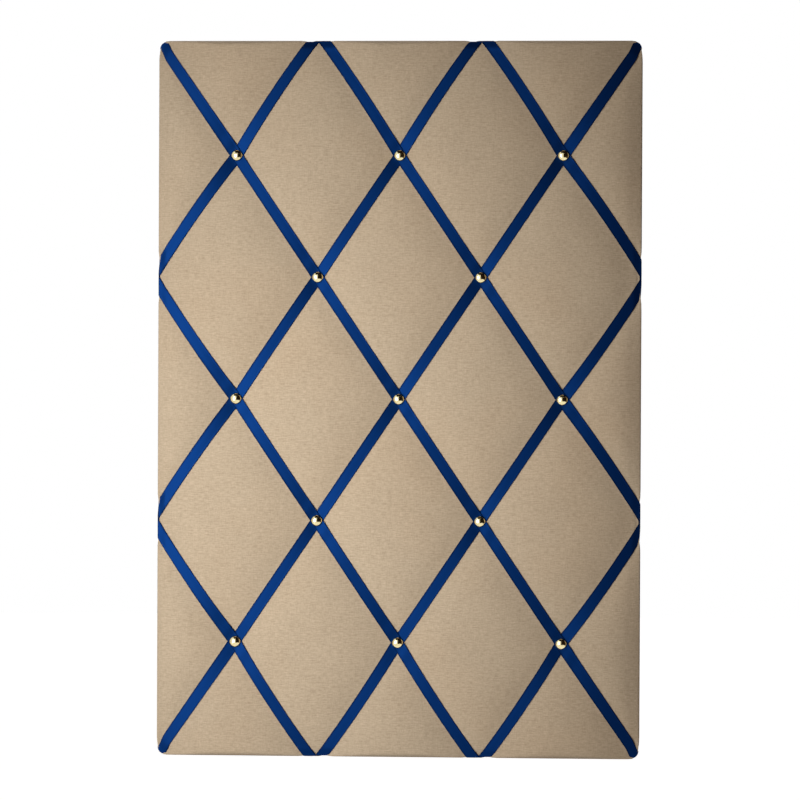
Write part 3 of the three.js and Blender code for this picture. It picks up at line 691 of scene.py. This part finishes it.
class EdgeEnd:
    def __init__(self, run, way):
        x, z = run.middleAt(way * run.reach)
        self.run = run
        self.overSide = abs(x) / halfX > abs(z) / halfZ
        self.sign = float(np.sign(x if self.overSide else z))
        self.half = halfWidth if self.overSide else halfHeight
        self.cells = (halfX, outerX) if self.overSide else (halfZ, outerZ)
        self.start = strip["edgeStart"]

    def startAlong(self):
        line = self.run.held + self.run.lines
        reach = self.sign * stepsAt(self.half - self.start, *self.cells)
        if self.overSide:
            return reach - line
        return line - reach if self.run.falls else line + reach

    def place(self, past, unrolled):
        # along the edge a line of the ribbon goes on straight, as on the unrolled cloth
        line = 2 * (self.run.held + self.run.lines)
        reach = self.sign * stepsAt(self.half + unrolled, *self.cells)
        way = 1 if self.run.falls else -1
        away = self.sign * (self.half + past)
        if self.overSide:
            return away, spread(way * (line - reach), halfZ, outerZ)
        return spread(line - way * reach, halfX, outerX), away

    tail = place

    def lift(self, unrolled):
        meeting = spread(diamonds, *self.cells) - self.half  # where a pair crosses, just past the edge
        return self.run.lift(np.abs(unrolled - meeting) * diagonal / self.cells[0])


class CornerEnd:
    def __init__(self, run, way):
        x, z = run.middleAt(way * run.reach)
        self.run, self.way = run, way
        self.signX, self.signZ = float(np.sign(x)), float(np.sign(z))
        self.start = strip["cornerStart"]

    def alongAt(self, inset):
        deep = inset + cornerRadiusAt(inset) * (1 - math.cos(math.pi / 4))
        beyond = halfWidth + halfHeight - 2 * deep - innerSteps * (halfX + halfZ)
        return innerSteps + unbowed(beyond / (outerX + outerZ))

    def startAlong(self):
        return np.full_like(self.run.lines, self.way * self.alongAt(self.start))

    def place(self, past, unrolled):
        inset = np.maximum(0, -past)
        radius = cornerRadiusAt(inset)
        swing = self.run.lines / ribbonHalf * (band["width"] / 2 / radius)
        angle = math.pi / 4 - self.way * swing
        reach = radius + np.maximum(0, past)
        x = self.signX * (halfWidth - inset - radius + reach * np.cos(angle))
        z = self.signZ * (halfHeight - inset - radius + reach * np.sin(angle))
        straightX, straightZ = self.run.plan(self.way * self.alongAt(inset))
        share = smoothStep(1 - inset / self.start)
        return straightX + (x - straightX) * share, straightZ + (z - straightZ) * share

    def tail(self, past, unrolled):
        inset = float(np.mean(-past))
        along = min(stepsAt(halfWidth - inset, halfX, outerX), stepsAt(halfHeight - inset, halfZ, outerZ))
        return self.run.plan(self.way * along)

    def lift(self, unrolled):
        return np.full_like(unrolled, band["gap"])


def endStations(end, count):
    # (past the edge, past it on the unrolled cloth, out) for every line at each station
    unrolled = np.full(count, -end.start)
    stations = []
    for turn in np.linspace(0, math.pi / 2, strip["edgeSteps"] + 1):
        past = np.full(count, end.start * (math.sin(turn) - 1))
        for _ in range(strip["passes"]):
            x, z = end.place(past, unrolled)
            level = frontOut(x, z, insetOf(x, z))
            if stations:
                before = stations[-1]
                unrolled = before[1] + np.hypot(past - before[0], level - before[2])
        stations.append((past, unrolled, level))
    for inset, height in aroundBack(strip, strip["tailReach"]):
        before = stations[-1]
        past, level = np.full(count, -inset), np.full(count, height)
        unrolled = before[1] + np.hypot(past - before[0], level - before[2])
        stations.append((past, unrolled, level))
    return stations


def endRows(end, extra):
    past, unrolled, level = (np.array(part) for part in zip(*endStations(end, len(extra))))
    stepPast, stepLevel = np.gradient(past, axis=0), np.gradient(level, axis=0)
    length = np.hypot(stepPast, stepLevel)
    rows = []
    for i in range(len(past)):
        onRoll = i <= strip["edgeSteps"]
        onBack = i >= len(past) - strip["turnInSteps"]
        press = form["press"] * pressShare(float(-past[i][0]), None if onRoll else float(level[i][0]))
        lift = end.lift(unrolled[i]) + extra - press
        movedPast = past[i] - stepLevel[i] / length[i] * lift
        movedLevel = level[i] + stepPast[i] / length[i] * lift
        x, z = (end.tail if onBack else end.place)(movedPast, unrolled[i])
        rows.append(np.stack([x, -movedLevel, z], 1))
    return rows


def ribbonRows(run, ends, extra):
    first, last = (end.startAlong() for end in ends)
    count = int(np.mean(last - first) * diagonal / strip["step"])
    front = []
    for share in np.linspace(0, 1, count + 1)[1:-1]:
        along = first + (last - first) * share
        x, z = run.plan(along)
        inset = insetOf(x, z)
        out = frontOut(x, z, inset) + run.liftAt(along) + extra - form["press"] * pressShare(inset, None)
        front.append(np.stack([x, -out, z], 1))
    return endRows(ends[0], extra)[::-1] + front + endRows(ends[1], extra)


def ribbonPiece(name, run):
    endKind = EdgeEnd if run.held else CornerEnd
    ends = [endKind(run, way) for way in (-1, 1)]
    across = np.array(strip["lines"])
    crown = band["selvedge"] * (np.abs(across) > band["selvedgeStart"]) + band["camber"] * (1 - across**2)
    lower = ribbonRows(run, ends, np.zeros(len(across)))
    upper = ribbonRows(run, ends, band["thickness"] + crown)
    section = 2 * len(across)
    points = np.concatenate([np.concatenate([low, high[::-1]]) for low, high in zip(lower, upper)])
    faces = quads(len(lower), section + 1, lambda r, c: r * section + c % section, not run.falls)
    caps = [list(range(section)), list(range(len(points) - section, len(points)))]
    caps[0 if run.falls else 1].reverse()
    piece = smooth(meshPiece(name, points, faces + caps))
    middle = np.array([row[len(across) // 2] for row in lower])
    travel = np.concatenate([[0], np.cumsum(np.linalg.norm(np.diff(middle, axis=0), axis=1))])
    width = np.concatenate([across, across[::-1]]) * band["width"] / 2
    setUv(piece, "ribbonRun", [(u, v) for v in travel for u in width])
    piece.data.materials.append(finishes["satin"])
    return piece, travel[-1]


ribbonLengths = []
for falls, layer in ((False, "lower"), (True, "upper")):
    for held in range(diamonds - 1, -diamonds, -1):
        number = diamonds - held
        ribbon, length = ribbonPiece(f"{layer}_satin_{number}", RibbonRun(falls, held))
        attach(ribbon, "board")
        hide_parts(f"{layer}_ribbon_{number}")
        ribbonLengths.append(round(float(length), 3))
print("ribbons:", ribbonLengths)

# nails, and what the node trees of the small fittings share

weld = 2e-6  # points this close become one


def newTree(name, sizes):
    tree = bpy.data.node_groups.new(name, "GeometryNodeTree")

    def addSocket(label, kind, way="INPUT"):
        return tree.interface.new_socket(label, in_out=way, socket_type=f"NodeSocket{kind}").identifier

    addSocket("Places", "Geometry")
    kinds = {float: "Float", int: "Int", bpy.types.Material: "Material"}
    sockets = {label: addSocket(label, kinds[type(value)]) for label, value in sizes.items()}
    addSocket("Geometry", "Geometry", "OUTPUT")
    return tree, sockets, addNode(tree, "NodeGroupInput").outputs


def placed(tree, points, instance, turn):
    inputs = {"Points": points, "Instance": instance, "Rotation": turn}
    return output(tree, "GeometryNodeInstanceOnPoints", inputs)


def endTree(tree, geometry, finish):
    real = output(tree, "GeometryNodeRealizeInstances", {0: geometry})
    whole = output(tree, "GeometryNodeMergeByDistance", {"Geometry": real, "Distance": weld})
    shaded = output(tree, "GeometryNodeSetShadeSmooth", {0: whole})
    done = output(tree, "GeometryNodeSetMaterial", {"Geometry": shaded, "Material": finish})
    addNode(tree, "NodeGroupOutput", {0: done})


def grown(piece, tree, sockets, sizes):
    modifier = piece.modifiers.new("grown", "NODES")
    modifier.node_group = tree
    for label, value in sizes.items():
        modifier[sockets[label]] = value
    return plainMesh(piece)


def domeHead(tree, given):
    facets = {"Segments": given["segments"], "Rings": given["rings"], "Radius": 1.0}
    ball = output(tree, "GeometryNodeMeshUVSphere", facets)
    x, y, z = partsOf(tree, output(tree, "GeometryNodeInputPosition"))
    radius = times(tree, given["diameter"], 0.5)
    above = times(tree, calc(tree, "MAXIMUM", z, 0.0), given["height"])
    below = times(tree, calc(tree, "MINIMUM", z, 0.0), given["rim"])
    moved = vectorOf(tree, times(tree, x, radius), times(tree, y, radius), calc(tree, "ADD", above, below))
    return output(tree, "GeometryNodeSetPosition", {"Geometry": ball, "Position": moved})


def nailTree(sizes):
    tree, sockets, given = newTree("domedNails", sizes)
    shank = output(tree, "GeometryNodeMeshCone", {
        "Vertices": given["shankSides"],
        "Radius Top": times(tree, given["shank"], 0.5),
        "Radius Bottom": given["tip"],
        "Depth": given["shankLength"],
    })
    down = vectorOf(tree, z=times(tree, given["shankLength"], -1.0))
    shank = output(tree, "GeometryNodeTransform", {"Geometry": shank, "Translation": down})
    join = addNode(tree, "GeometryNodeJoinGeometry", {0: shank})
    feed(tree, join, {0: domeHead(tree, given)})
    most = calc(tree, "RADIANS", given["tilt"])
    least = times(tree, most, -1.0)
    low, high = (vectorOf(tree, calc(tree, "ADD", end, math.pi / 2), end, end) for end in (least, most))
    leaning = {0: low, 1: high, "Seed": given["seed"]}
    lean = output(tree, "FunctionNodeRandomValue", leaning, data_type="FLOAT_VECTOR")
    endTree(tree, placed(tree, given["Places"], join.outputs[0], lean), given["finish"])
    return tree, sockets


nailSizes = {**nail, "finish": finishes["brass"]}
nails = meshPiece("brass_nails", [(x, -nailSeat, z) for x, _, z in nailPlaces], [])
grown(nails, *nailTree(nailSizes), nailSizes)
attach(nails, "board")
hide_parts(*[f"stud_{i + 1}" for i in range(len(nailPlaces))])
print("nails:", len(nailPlaces), "at", len(nails.data.polygons), "faces")

# backing card with its edge staples

card = {"corner": 0.004, "cornerSteps": 6, "bevel": 0.0003, "bevelSteps": 2}
cardLow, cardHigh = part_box("backing_card")


def cardOutline():
    points = []
    wide, high, radius = cardHigh[0], cardHigh[2], card["corner"]
    for quarter, (signX, signZ) in enumerate(((1, 1), (-1, 1), (-1, -1), (1, -1))):
        for step in range(card["cornerSteps"] + 1):
            angle = math.pi / 2 * (quarter + step / card["cornerSteps"])
            x = signX * (wide - radius) + radius * math.cos(angle)
            points.append((x, signZ * (high - radius) + radius * math.sin(angle)))
    return points


outline = cardOutline()
count = len(outline)
cardPoints = [(x, y, z) for y in (cardLow[1], cardHigh[1]) for x, z in outline]
cardFaces = [tuple(range(count)), tuple(reversed(range(count, 2 * count)))]
cardFaces += [(i, count + i, count + (i + 1) % count, (i + 1) % count) for i in range(count)]
backCard = meshPiece("back_card", cardPoints, cardFaces)
backCard.data.materials.append(finishes["blackCard"])
softEdge = backCard.modifiers.new("softEdge", "BEVEL")
softEdge.width, softEdge.segments = card["bevel"], card["bevelSteps"]
plainMesh(backCard)
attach(backCard, "board")
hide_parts("backing_card")

edgeStaple = {
    "crown": 0.010,
    "legs": 0.0012,
    "wire": 0.0006,
    "sides": 8,
    "corner": 0.0006,
    "cornerSteps": 4,
    "spacing": 0.075,
    "skew": 3.0,  # degrees at most
    "seed": 4,
}
stapleRow = {"inset": 0.011, "fromCorner": 0.030}


def bentWire(tree, given, path):
    bend = {"Curve": path, "Count": given["cornerSteps"], "Radius": given["corner"], "Limit Radius": True}
    path = output(tree, "GeometryNodeFilletCurve", bend, mode="POLY")
    thick = {"Resolution": given["sides"], "Radius": times(tree, given["wire"], 0.5)}
    section = output(tree, "GeometryNodeCurvePrimitiveCircle", thick)
    swept = {"Curve": path, "Profile Curve": section, "Fill Caps": True}
    return output(tree, "GeometryNodeCurveToMesh", swept)


def stapleTree(sizes):
    tree, sockets, given = newTree("edgeStaples", sizes)
    # four points: a leg, the crown's two ends and the other leg
    ends = 4
    middle = (ends - 1) / 2
    line = output(tree, "GeometryNodeCurvePrimitiveLine", {"End": (1.0, 0.0, 0.0)})
    line = output(tree, "GeometryNodeResampleCurve", {"Curve": line, "Count": ends})
    index = output(tree, "GeometryNodeInputIndex")
    side = calc(tree, "SUBTRACT", calc(tree, "GREATER_THAN", index, middle), 0.5)
    isLeg = calc(tree, "GREATER_THAN", calc(tree, "ABSOLUTE", calc(tree, "SUBTRACT", index, middle)), 1.0)
    down = times(tree, times(tree, isLeg, given["legs"]), -1.0)
    bent = vectorOf(tree, times(tree, side, given["crown"]), 0.0, down)
    line = output(tree, "GeometryNodeSetPosition", {"Geometry": line, "Position": bent})
    rim = output(tree, "GeometryNodeMeshToCurve", {"Mesh": given["Places"]})
    apart = {"Curve": rim, "Length": given["spacing"]}
    spaced = addNode(tree, "GeometryNodeCurveToPoints", apart, mode="LENGTH").outputs
    upright = partsOf(tree, spaced["Tangent"])[2]
    quarter = times(tree, calc(tree, "ABSOLUTE", upright), math.pi / 2)
    most = calc(tree, "RADIANS", given["skew"])
    skewing = {2: times(tree, most, -1.0), 3: most, "Seed": given["seed"]}
    skew = addNode(tree, "FunctionNodeRandomValue", skewing, data_type="FLOAT").outputs[1]
    turn = vectorOf(tree, -math.pi / 2, calc(tree, "ADD", quarter, skew))
    endTree(tree, placed(tree, spaced["Points"], bentWire(tree, given, line), turn), given["finish"])
    return tree, sockets


stapleSizes = {**edgeStaple, "finish": finishes["zinc"]}
rowX, rowZ = cardHigh[0] - stapleRow["inset"], cardHigh[2] - stapleRow["inset"]
endX, endZ = rowX - stapleRow["fromCorner"], rowZ - stapleRow["fromCorner"]
rowEnds = [(-endX, rowZ), (endX, rowZ), (rowX, endZ), (rowX, -endZ)]
rowEnds += [(-x, -z) for x, z in rowEnds]
rowPoints = [(x, cardHigh[1] + edgeStaple["wire"] / 2, z) for x, z in rowEnds]
edgeStaples = meshPiece("card_staples", rowPoints, [], [(i, i + 1) for i in range(0, len(rowPoints), 2)])
grown(edgeStaples, *stapleTree(stapleSizes), stapleSizes)
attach(edgeStaples, "board")
print("back: card and edge staples,", len(edgeStaples.data.polygons), "faces")

# ring hangers: a strap folded round the bar of a wire ring, and a screw

strap = {
    "width": 0.011,
    "thickness": 0.0008,
    "lower": 0.0007,  # middle of the layer on the card
    "upper": 0.0018,  # and of the layer folded over it
    "knuckle": 0.0019,  # radius round the bar
    "leave": -45.0,  # where the strap leaves the knuckle, in degrees
    "pinchEnd": 0.0052,  # below the bar
    "screwDrop": 0.020,
    "bevel": 0.00015,
    "bevelSteps": 2,
    "bevelAngle": 50.0,
}
strapSteps = {"end": 8, "straight": 3, "knuckle": 22, "pinch": 8, "across": 7}
wireRing = {
    "wire": 0.0024,
    "sides": 14,
    "width": 0.018,
    "drop": 0.013,
    "lean": 6.14,  # degrees out of the back
    "steps": 32,
    "corner": 0.0022,
    "cornerSteps": 6,
}
hangerScrew = {
    "diameter": 0.0064,
    "height": 0.002,
    "rim": 0.0003,
    "segments": 40,
    "rings": 22,
    "slot": 0.0044,
    "slotWidth": 0.0008,
    "slotDepth": 0.0011,
    "turn": 35.0,
}
axisOut = strap["lower"] + strap["knuckle"]  # knuckle's axis behind the card


def strapPath():
    # (out of the back, up, half width) from one round end, over the knuckle, to the other
    half, drop, pinchEnd = strap["width"] / 2, strap["screwDrop"], strap["pinchEnd"]
    tip = [math.pi / 2 * (step + 0.5) / (strapSteps["end"] + 0.5) for step in range(strapSteps["end"] + 1)]
    end = [(-drop - half * math.cos(angle), half * math.sin(angle)) for angle in tip]
    path = [(strap["lower"], up, wide) for up, wide in end]
    path += [(strap["lower"], up, half) for up in np.linspace(-drop, 0, strapSteps["straight"] + 1)[1:-1]]
    leave = math.radians(strap["leave"])
    for angle in np.linspace(math.pi, leave, strapSteps["knuckle"] + 1):
        path.append((axisOut + strap["knuckle"] * math.cos(angle), strap["knuckle"] * math.sin(angle), half))
    # a Bezier curve, with handles a third as long as its drop, pinches the two layers together
    start, target = Vector(path[-1][:2]), Vector((strap["upper"], -pinchEnd))
    first = start + pinchEnd / 3 * Vector((math.sin(leave), -math.cos(leave)))
    second = target + Vector((0, pinchEnd / 3))
    for t in np.linspace(0, 1, strapSteps["pinch"] + 1)[1:]:
        s = 1 - t
        spot = s**3 * start + 3 * t * s**2 * first + 3 * t**2 * s * second + t**3 * target
        path.append((spot[0], spot[1], half))
    last = np.linspace(-pinchEnd, -drop, strapSteps["straight"] + 1)[1:-1]
    path += [(strap["upper"], up, half) for up in last]
    return path + [(strap["upper"], up, wide) for up, wide in reversed(end)]


def strapPiece(name, x, z):
    path = strapPath()
    columns = strapSteps["across"]
    shares = np.linspace(-1, 1, columns)
    points = [(x + wide * share, out, z + up) for out, up, wide in path for share in shares]
    piece = meshPiece(name, points, quads(len(path), columns, lambda r, c: r * columns + c, True))
    piece.data.materials.append(finishes["nickel"])
    wall = piece.modifiers.new("wall", "SOLIDIFY")
    wall.thickness, wall.offset = strap["thickness"], 0.0
    rounded = piece.modifiers.new("rounded", "BEVEL")
    rounded.width, rounded.segments = strap["bevel"], strap["bevelSteps"]
    rounded.angle_limit = math.radians(strap["bevelAngle"])
    return smooth(plainMesh(piece))


def wireTree(sizes):
    tree, sockets, given = newTree("bentWire", sizes)
    path = output(tree, "GeometryNodeMeshToCurve", {"Mesh": given["Places"]})
    endTree(tree, bentWire(tree, given, path), given["finish"])
    return tree, sockets


def ringPath(x, z):
    # the bar along x at the top, then half an ellipse, leaning out of the back
    half, lean = wireRing["width"] / 2, math.radians(wireRing["lean"])
    path = []
    for angle in np.linspace(0, -math.pi, wireRing["steps"] + 1):
        down = wireRing["drop"] * math.sin(angle)
        path.append((x + half * math.cos(angle), axisOut - down * math.sin(lean), z + down * math.cos(lean)))
    return path


def screwTree(sizes):
    tree, sockets, given = newTree("hangerScrews", sizes)
    head = {"Mesh 1": domeHead(tree, given)}
    recess = addNode(tree, "GeometryNodeMeshBoolean", head, operation="DIFFERENCE")
    # two bars centred on the crown, so half of each cuts; unequal depths keep their floors apart
    bars = [(given["slot"], given["slotWidth"], 2.0), (given["slotWidth"], given["slot"], 1.9)]
    for length, width, depths in bars:
        size = vectorOf(tree, length, width, times(tree, given["slotDepth"], depths))
        bar = output(tree, "GeometryNodeMeshCube", {"Size": size})
        lifted = vectorOf(tree, z=given["height"])
        bar = output(tree, "GeometryNodeTransform", {"Geometry": bar, "Translation": lifted})
        feed(tree, recess, {"Mesh 2": bar})
    turn = vectorOf(tree, -math.pi / 2, calc(tree, "RADIANS", given["turn"]))
    endTree(tree, placed(tree, given["Places"], recess.outputs["Mesh"], turn), given["finish"])
    return tree, sockets


wireSizes = {key: wireRing[key] for key in ("wire", "sides", "corner", "cornerSteps")}
wireSizes["finish"] = finishes["nickel"]
ringTree = wireTree(wireSizes)
screwPlaces = []
for side in ("left", "right"):
    low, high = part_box(f"{side}_hanger_strap")
    x, z = (low[0] + high[0]) / 2, high[2] - strap["knuckle"] - strap["thickness"] / 2
    plate = strapPiece(f"{side}_strap", x, z)
    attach(plate, "board")
    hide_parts(f"{side}_hanger_strap")
    path = ringPath(x, z)
    ring = meshPiece(f"{side}_ring_wire", path, [], [(i, (i + 1) % len(path)) for i in range(len(path))])
    grown(ring, *ringTree, wireSizes)
    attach(ring, f"{side}_ring")
    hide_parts(f"{side}_d_ring")
    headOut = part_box(f"{side}_hanger_screw")[1][1]
    screwPlaces.append((x, headOut - hangerScrew["height"], z - strap["screwDrop"]))

screwSizes = {**hangerScrew, "finish": finishes["zinc"]}
screws = meshPiece("hanger_screws", screwPlaces, [])
grown(screws, *screwTree(screwSizes), screwSizes)
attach(screws, "board")
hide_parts("left_hanger_screw", "right_hanger_screw")
print("hangers: two straps, two rings,", len(screwPlaces), "screws")

# hidden solids that keep their CAD shape

for node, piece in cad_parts.items():
    finish = "zinc" if node.startswith("ribbon_staple") else "fibreboard" if node == "core_board" else None
    if finish:
        piece.data.materials.clear()
        piece.data.materials.append(finishes[finish])

# camera, light and floor

view = {
    "lens": 85.18,
    "distance": 1.602,
    "aside": 0.0462,
    "above": 0.0074,
    "turn": -1.63,  # this and the next two in degrees
    "tilt": -0.29,
    "roll": 0.258,
}
lamp = {
    "place": (-0.55, -1.0, -0.02),
    "aim": (-0.07, 0.0, -0.06),
    "size": (0.3, 0.8),
    "spread": 58.0,
    "power": 2.08,
    "color": (0.99, 1.0, 0.985),
}
backLamp = {
    "place": (0.45, 1.1, 1.35),
    "aim": (0, 0, 0),
    "size": (1.6, 1.6),
    "spread": 140.0,
    "power": 8.5,
    "color": (1.0, 1.0, 1.0),
}
screen = {
    "foot": ((0.1, -2.2), (1.4, -2.0), (1.9, 0.3)),  # a dark folding screen on the right, in plan
    "low": -0.9,
    "high": 1.6,
    "roof": ((-1.0, -2.2), (1.4, -2.0), (1.9, 0.3), (-1.0, 0.3)),
    "surface": {"Base Color": (0.06, 0.034, 0.016, 1), "Roughness": 1.0},
    "hidden": ("camera", "diffuse", "shadow", "transmission"),
}
room = {
    "light": 0.085,
    "color": (1.0, 0.74, 0.52, 1),
    "floorDrop": 0.6,
    "floorSize": 12.0,
    "floor": {"Base Color": (0.9, 0.9, 0.9, 1), "Roughness": 0.9, "Emission Color": (1, 1, 1, 1)},
    "floorGlow": 0.92,
}


def addCamera():
    camera = bpy.data.objects.new("camera", bpy.data.cameras.new("camera"))
    bpy.context.scene.collection.objects.link(camera)
    camera.data.lens = view["lens"]
    turn = Matrix.Rotation(math.radians(-view["turn"]), 4, "Z")
    tilt = Matrix.Rotation(math.radians(90 + view["tilt"]), 4, "X")
    roll = Matrix.Rotation(math.radians(view["roll"]), 4, "Z")
    place = Matrix.Translation((view["aside"], -view["distance"], view["above"]))
    camera.matrix_world = place @ turn @ tilt @ roll
    bpy.context.scene.camera = camera


def addLamp(name, settings):
    light = bpy.data.lights.new(name, "AREA")
    light.shape = "RECTANGLE"
    light.size, light.size_y = settings["size"]
    light.energy = settings["power"]
    light.color = settings["color"]
    light.spread = math.radians(settings["spread"])
    piece = bpy.data.objects.new(name, light)
    bpy.context.scene.collection.objects.link(piece)
    piece.location = settings["place"]
    away = Vector(settings["place"]) - Vector(settings["aim"])
    piece.rotation_euler = away.to_track_quat("Z", "Y").to_euler()


def addScreen():
    # seen only in reflections, on the metal and the satin
    count = len(screen["foot"])
    points = [(x, y, z) for z in (screen["low"], screen["high"]) for x, y in screen["foot"]]
    faces = [(i, i + 1, count + i + 1, count + i) for i in range(count - 1)]
    faces.append(tuple(len(points) + i for i in range(len(screen["roof"]))))
    points += [(x, y, screen["high"]) for x, y in screen["roof"]]
    folds = meshPiece("screen", points, faces)
    material, tree, shader = newMaterial("darkScreen")
    feed(tree, shader, screen["surface"])
    folds.data.materials.append(material)
    for ray in screen["hidden"]:
        setattr(folds, f"visible_{ray}", False)


def backgroundRay(tree):
    path = addNode(tree, "ShaderNodeLightPath").outputs
    seen = calc(tree, "MAXIMUM", path["Is Camera Ray"], path["Is Glossy Ray"])
    return calc(tree, "MAXIMUM", seen, path["Is Transmission Ray"])


def addRoom():
    world = bpy.data.worlds.new("room")
    world.use_nodes = True
    tree = world.node_tree
    share = backgroundRay(tree)
    feed(tree, tree.nodes["Background"], {
        "Color": blendColor(tree, share, room["color"], (1, 1, 1, 1)),
        "Strength": calc(tree, "ADD", times(tree, share, 1 - room["light"]), room["light"]),
    })
    bpy.context.scene.world = world
    half = room["floorSize"] / 2
    low = -halfHeight - room["floorDrop"]
    corners = [(-half, -half, low), (half, -half, low), (half, half, low), (-half, half, low)]
    floor = meshPiece("floor", corners, [(0, 1, 2, 3)])
    material, tree, shader = newMaterial("paleFloor")
    glow = times(tree, backgroundRay(tree), room["floorGlow"])
    feed(tree, shader, {**room["floor"], "Emission Strength": glow})
    floor.data.materials.append(material)


addCamera()
addLamp("window", lamp)
addLamp("backLight", backLamp)
addScreen()
addRoom()
bpy.context.scene.view_settings.view_transform = "Standard"
print("studio: camera, a window light, a light behind and a pale floor")
